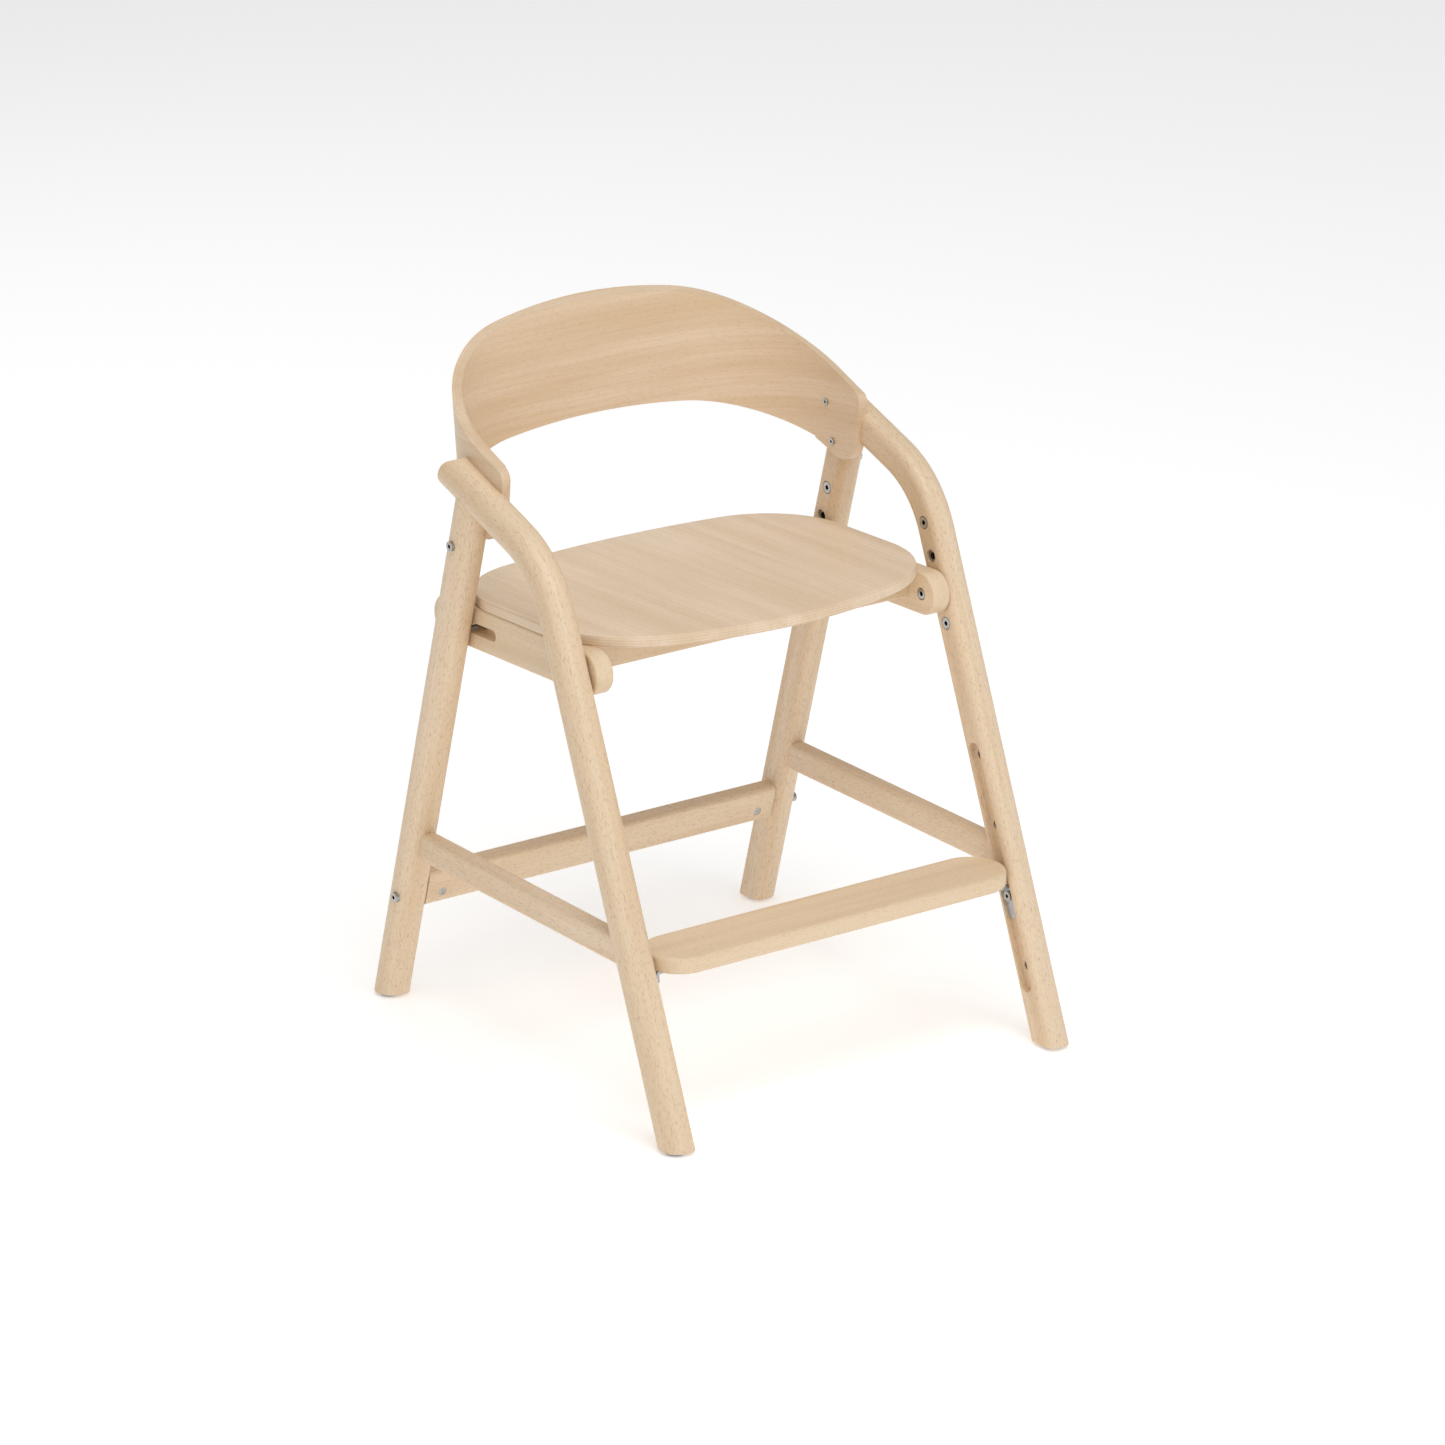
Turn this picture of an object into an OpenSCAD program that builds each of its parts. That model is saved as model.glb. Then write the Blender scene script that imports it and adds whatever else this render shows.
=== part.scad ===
// Wooden high chair: two splayed side frames whose front legs bend over into the armrests,
// a height-adjustable ply seat on slotted bearers and a height-adjustable footrest.
// Millimetres, +Z up, front of the chair towards -Y, origin under the middle of the four feet.

/* [Overall size] */
// Width across the outer faces of the legs, mm
overall_width = 530; // [440:1:640]
// Distance from the front glides to the rear glides, mm
foot_spread = 540.4; // [450:0.1:650]

/* [Side frames] */
// Thickness of a leg across the chair, mm
leg_thickness = 34; // [26:0.5:41]
// Width of a leg seen from the side, mm
leg_width = 37.6; // [31:0.1:45]
// Radius on the two inner corners of the leg section, mm
leg_corner = 10; // [6:0.5:12]
// Lean of the front legs from vertical, degrees
front_lean = 21.95; // [18:0.05:26]
// Lean of the rear legs from vertical, degrees
rear_lean = 15.85; // [12:0.05:20]
// Distance along the front leg from the floor to the start of the bend, mm
bend_start = 568; // [500:1:680]
// Radius of the leg axis in the bend, mm
bend_radius = 116; // [90:1:140]
// Angle the leg turns through in the bend, degrees
bend_angle = 48.7; // [40:0.1:55]
// Length of armrest behind the rear leg axis, mm
arm_overhang = 43.7; // [36:0.1:53]
// Corner radius at the rear end of the armrest, mm
arm_end_radius = 12; // [6:0.5:15]

/* [Rails] */
// Distance along the rear leg to the stretcher bolts, mm
stretcher_bolt_along = 135.3; // [110:0.1:165]
// Thickness of the rear stretcher, mm
stretcher_thickness = 20; // [16:0.5:24]
// Height of the rear stretcher, mm
stretcher_height = 42; // [35:0.5:50]
// Width of a side rail, mm
side_rail_width = 18; // [15:0.5:21.6]
// Height of a side rail, mm
side_rail_height = 32.5; // [27:0.5:39]
// Height of the side rail centre above the floor, mm
side_rail_level = 193.75; // [160:0.25:230]
// Edge radius on the rails, mm
rail_edge = 5; // [2:0.5:7]

/* [Height adjustment] */
// Distance along the front leg to the seat bolt in use, mm
seat_bolt_along = 504.2; // [480:0.1:530]
// Distance between two seat holes along the front leg, mm
seat_pitch = 36.8; // [30:0.1:40]
// Distance along the front leg to the lowest footrest hole, mm
foot_hole_first = 90.5; // [75:0.1:110]
// Distance between two footrest holes, mm
foot_pitch = 77.3; // [64:0.1:80]
// Number of the footrest hole in use, counted from the bottom, starting at 0
foot_hole_used = 1; // [0:1:3]
// Width of the groove for the footrest plate, mm
groove_width = 18; // [15:0.1:21.6]
// Depth of the groove, mm
groove_depth = 7; // [5.8:0.1:8.4]

/* [Seat] */
// Thickness of the seat board, mm
seat_thickness = 12; // [10:0.5:15]
// Slope of the seat down to the rear, degrees
seat_slope = 2.29; // [0:0.01:5]
// Distance from the front edge of the seat to the front bolt, mm
seat_front_reach = 67.3; // [56:0.1:80]
// Distance from the rear edge of the seat to the rear bolt, mm
seat_rear_reach = 67.5; // [56:0.1:81]
// Radius of the front edge of the seat, mm
seat_front_radius = 430; // [360:1:520]
// Radius of the front corners of the seat, mm
seat_front_corner = 130; // [90:1:150]
// Radius of the rear edge of the seat, mm
seat_rear_radius = 925; // [770:1:1110]
// Radius of the rear corners of the seat, mm
seat_rear_corner = 105; // [80:1:126]
// Thickness of a seat bearer, mm
bearer_thickness = 22; // [18:0.5:26]
// Height of a seat bearer, mm
bearer_height = 47; // [40:0.5:56]
// Length of a bearer from the rear bolt to the centre of its round rear end, mm
bearer_tail = 38; // [32:0.5:45]
// Gap between a bearer and the leg beside it, mm
bearer_gap = 1.5; // [0.8:0.1:2.5]
// Height of the slot for the rear seat bolt, mm
slot_height = 12.5; // [10.5:0.1:15]

/* [Backrest] */
// Thickness of the bent backrest band, mm
back_thickness = 10.6; // [9:0.1:12.7]
// Depth to which the band ends are let into the legs and armrests, mm
back_rebate = 4.6; // [3:0.1:6]
// Depth of the bend from the screws to the rear, mm
back_depth = 184; // [155:1:220]
// Corner radius of the bend at its inner face, mm
back_corner = 125; // [100:1:150]
// Radius of the rear of the band at its inner face, mm
back_radius = 1190; // [900:10:1400]
// Lean of the band to the rear, degrees
back_lean = 6.05; // [0:0.05:9]
// Slope of the upper edge along the sides, degrees
back_top_slope = 20.8; // [16:0.1:25]
// Slope of the lower edge along the sides, degrees
back_low_slope = 13.66; // [11:0.1:17]

/* [Footrest] */
// Length of the footrest gap left at each leg, mm
foot_gap = 2; // [1:0.1:3]
// Width of the footrest board, mm
foot_width = 77; // [64:0.5:92]
// Thickness of the footrest board, mm
foot_thickness = 18; // [15:0.5:21.6]
// Thickness of the bracket steel, mm
plate_thickness = 3; // [2.5:0.1:3.5]

/* [Fasteners] */
// Diameter of the seat and accessory inserts, mm
insert_d = 14.6; // [12.4:0.1:17]
// Length of the seat inserts, mm
insert_length = 15; // [12:0.5:18]
// Diameter of the seat bolts, mm
seat_bolt_d = 8; // [6:0.5:9]
// Diameter of the bolt heads on show, mm
head_d = 11.5; // [10:0.1:13.5]
// Diameter of the washers on the rear seat bolts, mm
washer_d = 22; // [18.5:0.5:26]

/* [Hidden] */
$fn = 96;
half_width = overall_width / 2;
inner_x = half_width - leg_thickness;      // flat inner face of every leg
nose = leg_width / 2;                      // full-round outer edge
nose_x = leg_thickness - nose;             // centre of the nose from the inner face
arm_sanding = 0.02; // how much thinner the bend and the armrest are than the straight leg, all round
glide_h = 4;
glide_d = 26;
over = 1;                                  // how far a cutter runs past a face
slide_gap = 0.3;                           // between faces that slide past each other
fit = 0.05;                                // radial clearance round a fixed insert or pin
far = 2000;

// Points of the side view are [y, z].
function front_at(a) = [-foot_spread / 2 + a * sin(front_lean), a * cos(front_lean)];
function rear_at(a) = [foot_spread / 2 - a * sin(rear_lean), a * cos(rear_lean)];
arm_rise = 90 - front_lean - bend_angle;
arm_dir = [cos(arm_rise), sin(arm_rise)];
bend_c = front_at(bend_start) + bend_radius * [cos(front_lean), -sin(front_lean)];
arm_0 = bend_c + bend_radius * [-sin(arm_rise), cos(arm_rise)];
// Where the armrest axis crosses the rear leg axis: distance along each, then the point.
det = arm_dir[0] * cos(rear_lean) + sin(rear_lean) * arm_dir[1];
gap_0 = rear_at(0) - arm_0;
arm_to_rear = (gap_0[0] * cos(rear_lean) + sin(rear_lean) * gap_0[1]) / det;
joint = arm_0 + arm_to_rear * arm_dir;
arm_length = arm_to_rear + arm_overhang;
rear_full = joint[1] / cos(rear_lean);

// Seat: the mid-line of the bearers runs through both bolts.
seat_pin = front_at(seat_bolt_along);
seat_k = tan(seat_slope);
// the rear bolt sits where the bearer mid-line crosses the rear leg axis
rear_bolt_y = (foot_spread / 2 - tan(rear_lean) * (seat_pin[1] + seat_k * seat_pin[0]))
              / (1 - tan(rear_lean) * seat_k);
rear_bolt_along = (foot_spread / 2 - rear_bolt_y) / sin(rear_lean);
bearer_x = inner_x - bearer_gap;
bearer_r = bearer_height / 2;
bearer_span = (rear_bolt_y + bearer_tail - seat_pin[0]) / cos(seat_slope);
bolt_span = (rear_bolt_y - seat_pin[0]) / cos(seat_slope);
slide_ratio = (sin(front_lean) * cos(rear_lean) + cos(front_lean) * sin(rear_lean))
              / (cos(seat_slope) * cos(rear_lean) - sin(seat_slope) * sin(rear_lean));
// rear hole pitch that keeps the seat level
rear_pitch = seat_pitch * (cos(front_lean) * cos(seat_slope) + sin(front_lean) * sin(seat_slope))
             / (cos(rear_lean) * cos(seat_slope) - sin(rear_lean) * sin(seat_slope));
slot_front = bolt_span - 2 * seat_pitch * slide_ratio - 4;
slot_rear = bolt_span + seat_pitch * slide_ratio + 2.2;
slot_r = slot_height / 2;
// seat plan in the tilted frame of the bearers: y from the front bolt
seat_half = bearer_x;
seat_y0 = -seat_front_reach;
seat_y1 = bolt_span + seat_rear_reach;
seat_base = bearer_r;

// Backrest, drawn about the armrest joint
back_x = inner_x - back_rebate;
back_y = 3.1;                              // start of the corner arcs behind the joint
back_rear_y = back_y - 54.5 + back_depth;  // inner face at the rear
back_pivot = -21.9;
back_top = 74.9;
back_top_radius = 910;
back_low = -26.2;
back_low_radius = 1528;

// Footrest
foot_used = foot_hole_first + foot_hole_used * foot_pitch;
foot_half = inner_x - foot_gap;
foot_pin = front_at(foot_used);
foot_top = foot_pin[1] + 37.5;
foot_low = foot_top - foot_thickness;
foot_mid = foot_top - foot_thickness / 2;
foot_y = -foot_spread / 2 + tan(front_lean) * foot_mid;
plate_x = inner_x + groove_depth - 0.2;    // back of the plate, just clear of the groove floor
plate_width = groove_width - 1.5;
plate_below = 25;
plate_above = 11;
neck_width = 9;
flange_length = 34;
flange_width = 22;
neck_x = inner_x - 7;
foot_insert_d = 10;

stretcher_off = -14.3;                     // front face of the stretcher from the rear leg axis
stretcher_low = stretcher_bolt_along - 14.3;
barrel_in = 20.5;                          // barrel nut from the inner face of the leg
barrel_d = 10;
stretcher_bolt_d = 6;

rail_x = inner_x + 14;                     // middle of a side rail
cross_width = 24;
cross_height = 32;
cross_x = bearer_x - bearer_thickness;       // inner face of a bearer
front_cross_y = 34;                        // cross rail centres from the front bolt, along the bearer
rear_cross_y = slot_front - slot_r - cross_width / 2 - 6;   // clear of the washers' travel

// Holes of the seat and footrest adjustment along the legs
front_holes = [seat_bolt_along - seat_pitch, seat_bolt_along,
               seat_bolt_along + seat_pitch, seat_bolt_along + 2 * seat_pitch];
rear_holes = [rear_bolt_along, rear_bolt_along + rear_pitch, rear_bolt_along + 2 * rear_pitch];
foot_holes = [for (i = [0:3]) foot_hole_first + i * foot_pitch];

// Edges and ends of the backrest band, from the armrest joint
arch_steps = 12;
arch_half = back_x + 30;
end_front = -37.9;                         // front edge of the band, from the armrest joint
end_rear = 36.3;                           // where the round foot runs into the lower edge
end_corner = 14;
foot_c_y = -4;                             // the round foot of each end, from the armrest joint
foot_c_z = -21.5;
foot_r = 30;

// Fasteners, dowels and their places
groove_low = 62 + groove_width / 2;
groove_high = foot_holes[3] + 5;
foot_insert_len = 13;
leg_bolt_along = rear_full - 62.5;
arm_screw = arm_to_rear + 22.5;
leg_screw = rear_full - 36;
screw_d = 4;
screw_head_d = 7.6;
dowel_d = 8;
bearer_dowel_in = 12;
dowel_step = 9;
dowel_half = 18;
joint_along = rear_full - nose / cos(arm_rise - rear_lean);   // top of the rear leg, under the armrest
cope_top = 5;                              // how far under the armrest axis the coped edges end
counterbore = 5.5;                         // for the head of a front seat bolt
counterbore_d = 14;
nail_d = 3;
pocket = 2;                                // depth of the pocket round an outer bolt head
outer_head_d = 11;
neck_y = front_at(foot_used + plate_above)[0];
neck_z = front_at(foot_used + plate_above)[1];

// ---------- helpers ----------

// Frame of a front leg: z along the leg axis, y to the rear across it.
module front_frame() translate([0, -foot_spread / 2, 0]) rotate([-front_lean, 0, 0]) children();
// Frame of a rear leg.
module rear_frame() translate([0, foot_spread / 2, 0]) rotate([rear_lean, 0, 0]) children();
// Frame of the armrest: z along the armrest axis, y down and to the rear.
module arm_frame() translate([0, arm_0[0], arm_0[1]]) rotate([arm_rise - 90, 0, 0]) children();
// Frame of the seat: y along the bearers from the front bolt.
module seat_frame() translate([0, seat_pin[0], seat_pin[1]]) rotate([-seat_slope, 0, 0]) children();
// Frame of the backrest: origin at the armrest joint.
module back_frame() translate([0, joint[0], joint[1]]) children();
// The same thing on the left of the chair (side -1) or the right (side 1).
module on_side(side) mirror([side < 0 ? 1 : 0, 0, 0]) children();
module both() { on_side(-1) children(); on_side(1) children(); }
// A pin along +X starting at the given x.
module pin_x(x, length, d) translate([x, 0, 0]) rotate([0, 90, 0]) cylinder(d = d, h = length);
// A hexagon socket cutter along +X.
module hex_x(x, length, across) translate([x, 0, 0]) rotate([0, 90, 0]) rotate([0, 0, 30])
    cylinder(d = across / cos(30), h = length, $fn = 6);

// Leg section: x across the chair from the inner face, y across the leg. Inner corners rounded,
// outer edge a full half-round. Every face is taken back by sanded.
module leg_section(sanded = 0) {
    intersection() {
        translate([nose_x, 0]) circle(r = nose - sanded);
        translate([nose_x, -leg_width]) square([leg_width, 2 * leg_width]);
    }
    for (s = [-1, 1]) translate([leg_corner, s * (nose - leg_corner)]) circle(r = leg_corner - sanded);
    translate([sanded, leg_corner - nose]) square([nose_x - sanded, 2 * (nose - leg_corner)]);
    translate([leg_corner, sanded - nose]) square([nose_x - leg_corner, leg_width - 2 * sanded]);
}

// Rectangle w by h about the origin with corner radius r.
module round_rect(w, h, r) {
    for (x = [-1, 1], y = [-1, 1]) translate([x * (w / 2 - r), y * (h / 2 - r)]) circle(r = r);
    square([w - 2 * r, h], center = true);
    square([w, h - 2 * r], center = true);
}

// Bar with half-round ends: section thickness t in z, half width r in x, from y = 0 to y = span
// between the end centres, edges rounded by e.
module stadium_bar(span, r, t, e) {
    rotate([-90, 0, 0]) linear_extrude(span) round_rect(2 * r, t, e);
    for (end = [0, 1]) translate([0, end * span, 0]) rotate([0, 0, end ? 0 : 180])
        rotate_extrude(angle = 180) intersection() {
            round_rect(2 * r, t, e);
            translate([0, -t]) square([2 * r, 2 * t]);
        }
}

// Stepped bore for a seat insert in a leg, opening on the inner face.
module insert_bore() pin_x(inner_x - over, insert_length + 2.5 + over, insert_d);

// ---------- backrest shape ----------

// Plan of everything inside a face of the band, grown by g from the inner face.
module back_plan(g) {
    x0 = back_x + g;
    r = back_corner + g;
    R = back_radius + g;
    cx = back_x - back_corner;
    cy = back_rear_y - back_radius;
    dy = sqrt(pow(back_radius - back_corner, 2) - cx * cx);
    yc = cy + dy;
    tx = cx * R / (back_radius - back_corner);
    ty = cy + dy * R / (back_radius - back_corner);
    for (s = [-1, 1]) translate([s * cx, yc]) circle(r = r);
    polygon([[-x0, -120 + g], [x0, -120 + g], [x0, yc], [tx, ty], [-tx, ty], [-x0, yc]]);
    intersection() {
        translate([0, cy]) circle(r = R);
        translate([-tx, ty]) square([2 * tx, 60]);
    }
}

// Solid under a shallow arched surface that slopes up to the rear: z is the height of its
// middle line at the joint, radius the arch across the chair.
module arched_block(z, radius, slope) translate([0, 0, z]) rotate([slope, 0, 0])
    rotate([90, 0, 0]) translate([0, 0, -450]) linear_extrude(850)
        polygon(concat([[arch_half, -500], [-arch_half, -500]],
            [for (i = [-arch_steps:arch_steps]) let (x = i * arch_half / arch_steps)
                [x, sqrt(radius * radius - x * x) - radius]]));

// Height of an arched surface x from the middle of the chair and y behind the joint.
function arch_z(z, radius, slope, x, y) =
    z + y * tan(slope) - (radius - sqrt(radius * radius - x * x)) / cos(slope);

// Points of an arc of radius r about c, from angle a0 to a1.
function arc(c, r, a0, a1, steps) =
    [for (i = [0:steps]) c + r * [cos(a0 + (a1 - a0) * i / steps), sin(a0 + (a1 - a0) * i / steps)]];

// Side outline of an end of the band, seen along X: a round foot and a rounded front top corner.
module end_outline() {
    side_x = back_x + back_thickness / 2;
    corner_z = arch_z(back_top, back_top_radius, back_top_slope, side_x, end_front + end_corner)
               - end_corner / cos(back_top_slope);
    polygon(concat(
        arc([end_front + end_corner, corner_z], end_corner, 90 + back_top_slope, 180, 6),
        arc([foot_c_y, foot_c_z], foot_r, 188.6, 298.5, 12),
        [[end_rear, arch_z(back_low, back_low_radius, back_low_slope, side_x, end_rear)],
         [end_rear, 100], [end_front + end_corner * (1 - sin(back_top_slope)), 100]]));
}

// Leaning wall of the bent band before its edges are cut.
module back_wall() translate([0, 0, back_pivot]) rotate([-back_lean, 0, 0]) difference() {
    translate([0, 0, -180]) linear_extrude(420) back_plan(back_thickness);
    translate([0, -2 * back_thickness, -181]) linear_extrude(422) back_plan(0);
    translate([-300, -300, -181]) cube([600, 200, 422]);
    translate([0, 0, -181]) linear_extrude(422) back_plan(0);
}

module band() difference() {
    intersection() {
        difference() {
            back_wall();
            rotate([90, 0, 90]) translate([0, 0, -400]) linear_extrude(800) difference() {
                translate([-300, -400]) square([300 + end_rear, 800]);
                end_outline();
            }
        }
        arched_block(back_top, back_top_radius, back_top_slope);
    }
    intersection() {
        arched_block(back_low, back_low_radius, back_low_slope);
        translate([-400, end_rear - over, -400]) cube([800, 400, 600]); // overlaps the cut in front of it
    }
}

// ---------- side frames ----------

// The bent piece before boring. The bend and the armrest are sanded a hair thinner than the straight
// leg, so that the joint between them is a clean step.
module front_leg_blank() front_frame() {
    translate([inner_x, 0, -20]) linear_extrude(bend_start + 20) leg_section();
    translate([0, bend_radius, bend_start]) rotate([-bend_angle, 0, 0]) translate([0, -bend_radius, 0]) {
        armrest();
        translate([inner_x, bend_radius, 0]) rotate([0, 90, 0]) rotate([0, 0, -90])
            rotate_extrude(angle = bend_angle) translate([bend_radius, 0]) rotate(90)
                leg_section(arm_sanding);
    }
}

// Straight armrest along z with both rear corners rounded in the side view.
module armrest() intersection() {
    translate([inner_x, 0, 0]) linear_extrude(arm_length) leg_section(arm_sanding);
    // a little wider than the section, so the rounding meets its faces at an angle
    translate([inner_x - over, 0, 0]) rotate([0, 90, 0]) linear_extrude(leg_thickness + 2 * over) {
        w = leg_width + 0.6;
        translate([-arm_length, arm_end_radius - w / 2]) square([arm_length + 5, w - 2 * arm_end_radius]);
        translate([arm_end_radius - arm_length, -w / 2]) square([arm_length - arm_end_radius + 5, w]);
        for (s = [-1, 1]) translate([arm_end_radius - arm_length, s * (w / 2 - arm_end_radius)])
            circle(r = arm_end_radius);
    }
}

module front_leg(side) color("#DCC299") on_side(side) difference() {
    front_leg_blank();
    translate([0, -foot_spread, glide_h - 60]) cube([far, foot_spread, 60]);
    front_frame() for (a = front_holes) translate([0, 0, a]) insert_bore();
    front_frame() translate([inner_x - over, 0, 0]) rotate([0, 90, 0]) linear_extrude(groove_depth + over) {
        for (a = [groove_low, groove_high]) translate([-a, 0]) circle(d = groove_width);
        translate([-groove_high, -groove_width / 2]) square([groove_high - groove_low, groove_width]);
    }
    front_frame() for (a = foot_holes) translate([0, 0, a])
        pin_x(inner_x + groove_depth - over, foot_insert_len + over, foot_insert_d);
    back_frame() band();
    arm_frame() translate([0, 0, arm_screw]) pin_x(back_x, 26, screw_d);
    rear_frame() for (w = [-1, 1]) translate([inner_x + nose_x, w * dowel_step, joint_along - dowel_half])
        cylinder(d = dowel_d, h = 2 * dowel_half);
    side_dowel(true);
    glide_frame(-1) cylinder(d = nail_d, h = 16);
}

module rear_leg(side) color("#DCC299") on_side(side) difference() {
    rear_frame() translate([inner_x, 0, -20]) linear_extrude(rear_full + 20) leg_section();
    translate([0, 0, glide_h - 60]) cube([far, foot_spread, 60]);
    // coped to the round of the armrest, and nothing left above its sides
    arm_frame() translate([inner_x, 0, 0]) linear_extrude(arm_length + 40) leg_section();
    arm_frame() translate([0, -far, -far / 2]) cube([far, far + cope_top, far]);
    rear_frame() for (a = rear_holes) translate([0, 0, a]) insert_bore();
    rear_frame() translate([0, 0, leg_bolt_along]) pin_x(half_width - 24, 24, stretcher_bolt_d + 2 * fit);
    rear_frame() translate([0, stretcher_off + 10, stretcher_bolt_along])
        pin_x(inner_x - over, leg_thickness, stretcher_bolt_d + 2 * fit);
    rear_frame() for (p = [[0, leg_bolt_along], [stretcher_off + 10, stretcher_bolt_along]])
        translate([0, p[0], p[1]]) pin_x(half_width - pocket, 2 * pocket, outer_head_d + 0.2);
    rear_frame() translate([0, 0, leg_screw]) pin_x(back_x, 26, screw_d);
    rear_frame() for (w = [-1, 1]) translate([inner_x + nose_x, w * dowel_step, joint_along - dowel_half])
        cylinder(d = dowel_d, h = 2 * dowel_half);
    back_frame() band();
    side_dowel(false);
    glide_frame(1) cylinder(d = nail_d, h = 16);
}

// Centre of a glide: end -1 at the front, 1 at the rear, z up from the floor.
module glide_frame(end) translate([inner_x + nose_x + 1.9, end * foot_spread / 2, 0]) children();

// Where a side rail meets a leg, and the dowel across that joint.
module side_dowel(front) {
    y = front ? -foot_spread / 2 + tan(front_lean) * side_rail_level + nose / cos(front_lean)
              : foot_spread / 2 - tan(rear_lean) * side_rail_level - nose / cos(rear_lean);
    translate([rail_x, y - 16, side_rail_level]) rotate([-90, 0, 0]) cylinder(d = dowel_d, h = 32);
}

// ---------- rails ----------

module side_rail(side) color("#D9BE94") on_side(side) difference() {
    translate([rail_x, -foot_spread / 2, side_rail_level]) rotate([-90, 0, 0])
        linear_extrude(foot_spread) round_rect(side_rail_width, side_rail_height, rail_edge);
    // scribed to the legs at both ends, and nothing left outside them
    front_frame() translate([inner_x, 0, 0]) linear_extrude(500) leg_section();
    rear_frame() translate([inner_x, 0, 0]) linear_extrude(500) leg_section();
    front_frame() translate([0, -300, 0]) cube([far, 300, 500]);
    rear_frame() cube([far, 300, 500]);
    side_dowel(true);
    side_dowel(false);
}

module rear_stretcher() color("#D9BE94") rear_frame() difference() {
    translate([-inner_x, stretcher_off + stretcher_thickness / 2, stretcher_low + stretcher_height / 2])
        rotate([0, 90, 0]) linear_extrude(2 * inner_x)
            round_rect(stretcher_height, stretcher_thickness, rail_edge);
    both() translate([0, stretcher_off + 10, stretcher_bolt_along])
        pin_x(inner_x - 30, 31, stretcher_bolt_d + 0.1);
    both() translate([inner_x - barrel_in, stretcher_off - over, stretcher_bolt_along])
        rotate([-90, 0, 0]) cylinder(d = barrel_d, h = 15 + over);
}

// Hole for a screw through the band, with a flat for its head where the band already curves.
module back_screw_hole() {
    pin_x(back_x - over, 30, screw_d);
    pin_x(back_x - 5, 5, screw_head_d + 2 * fit);
}

module backrest() color("#DFC69E") difference() {
    back_frame() band();
    both() arm_frame() translate([0, 0, arm_screw]) back_screw_hole();
    both() rear_frame() translate([0, 0, leg_screw]) back_screw_hole();
}

// ---------- seat ----------

module seat_plan() {
    fx = seat_half - seat_front_corner;
    fcy = seat_y0 + seat_front_radius;
    fdy = sqrt(pow(seat_front_radius - seat_front_corner, 2) - fx * fx);
    fy = fcy - fdy;
    fk = seat_front_radius / (seat_front_radius - seat_front_corner);
    rx = seat_half - seat_rear_corner;
    rcy = seat_y1 - seat_rear_radius;
    rdy = sqrt(pow(seat_rear_radius - seat_rear_corner, 2) - rx * rx);
    ry = rcy + rdy;
    rk = seat_rear_radius / (seat_rear_radius - seat_rear_corner);
    for (s = [-1, 1]) {
        translate([s * fx, fy]) circle(r = seat_front_corner);
        translate([s * rx, ry]) circle(r = seat_rear_corner);
    }
    polygon([[-fx * fk, fcy - fdy * fk], [fx * fk, fcy - fdy * fk], [seat_half, fy], [seat_half, ry],
             [rx * rk, rcy + rdy * rk], [-rx * rk, rcy + rdy * rk], [-seat_half, ry], [-seat_half, fy]]);
    intersection() {
        translate([0, fcy]) circle(r = seat_front_radius);
        translate([-fx * fk, fcy - fdy * fk - 60]) square([2 * fx * fk, 60]);
    }
    intersection() {
        translate([0, rcy]) circle(r = seat_rear_radius);
        translate([-rx * rk, rcy + rdy * rk]) square([2 * rx * rk, 60]);
    }
}

module seat() color("#E3CDA6") seat_frame() difference() {
    translate([0, 0, seat_base]) linear_extrude(seat_thickness) seat_plan();
    seat_screw_places() translate([0, 0, -over]) cylinder(d = screw_d, h = 8 + over);
}

// Places of the screws into the underside of the seat: z = 0 at the underside.
module seat_screw_places() for (y = [front_cross_y, rear_cross_y], x = [-1, 1])
    translate([x * cross_x * 0.55, y, seat_base]) children();

module seat_bearer(side) color("#DCC299") on_side(side) seat_frame() difference() {
    translate([bearer_x - bearer_thickness / 2, 0, 0]) rotate([0, 90, 0]) 
        stadium_bar(bearer_span, bearer_r, bearer_thickness, 3);
    pin_x(bearer_x - bearer_thickness - over, counterbore + over, counterbore_d);
    pin_x(bearer_x - bearer_thickness - over, bearer_thickness + 2 * over, seat_bolt_d + 0.5);
    translate([bearer_x - bearer_thickness - over, 0, 0]) rotate([90, 0, 90])
        linear_extrude(bearer_thickness + 2 * over) {
            for (y = [slot_front, slot_rear]) translate([y, 0]) circle(r = slot_r);
            translate([slot_front, -slot_r]) square([slot_rear - slot_front, slot_height]);
        }
    bearer_dowel_places() pin_x(-over, bearer_dowel_in + over, dowel_d);
}

module seat_cross_rail(y) color("#D9BE94") seat_frame() difference() {
    translate([-cross_x, y, seat_base - cross_height / 2]) rotate([90, 0, 90])
        linear_extrude(2 * cross_x) round_rect(cross_width, cross_height, 3);
    both() bearer_dowel_places() pin_x(-21, 21 + over, dowel_d);
    seat_screw_places() translate([0, 0, -cross_height - over]) cylinder(d = screw_d, h = cross_height + 2 * over);
    seat_screw_places() translate([0, 0, -cross_height - over]) cylinder(d = 9, h = 12 + over);
}

// Dowels between a bearer and the ends of the cross rails: x = 0 at the bearer's inner face.
module bearer_dowel_places() for (y = [front_cross_y, rear_cross_y])
    translate([cross_x, y, seat_base - cross_height / 2]) children();

// ---------- footrest ----------

module footrest_board() color("#DFC69E") difference() {
    translate([-foot_half + foot_width / 2, foot_y, foot_mid]) rotate([0, 0, -90])
        stadium_bar(2 * foot_half - foot_width, foot_width / 2, foot_thickness, 3);
    both() foot_screw_places() translate([0, 0, -over]) cylinder(d = screw_d, h = 13 + over);
}

// Screws up through a flange: z = 0 at the underside of the board.
module foot_screw_places() for (x = [7, 24])
    translate([neck_x - x, foot_y, foot_low]) children();

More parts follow.
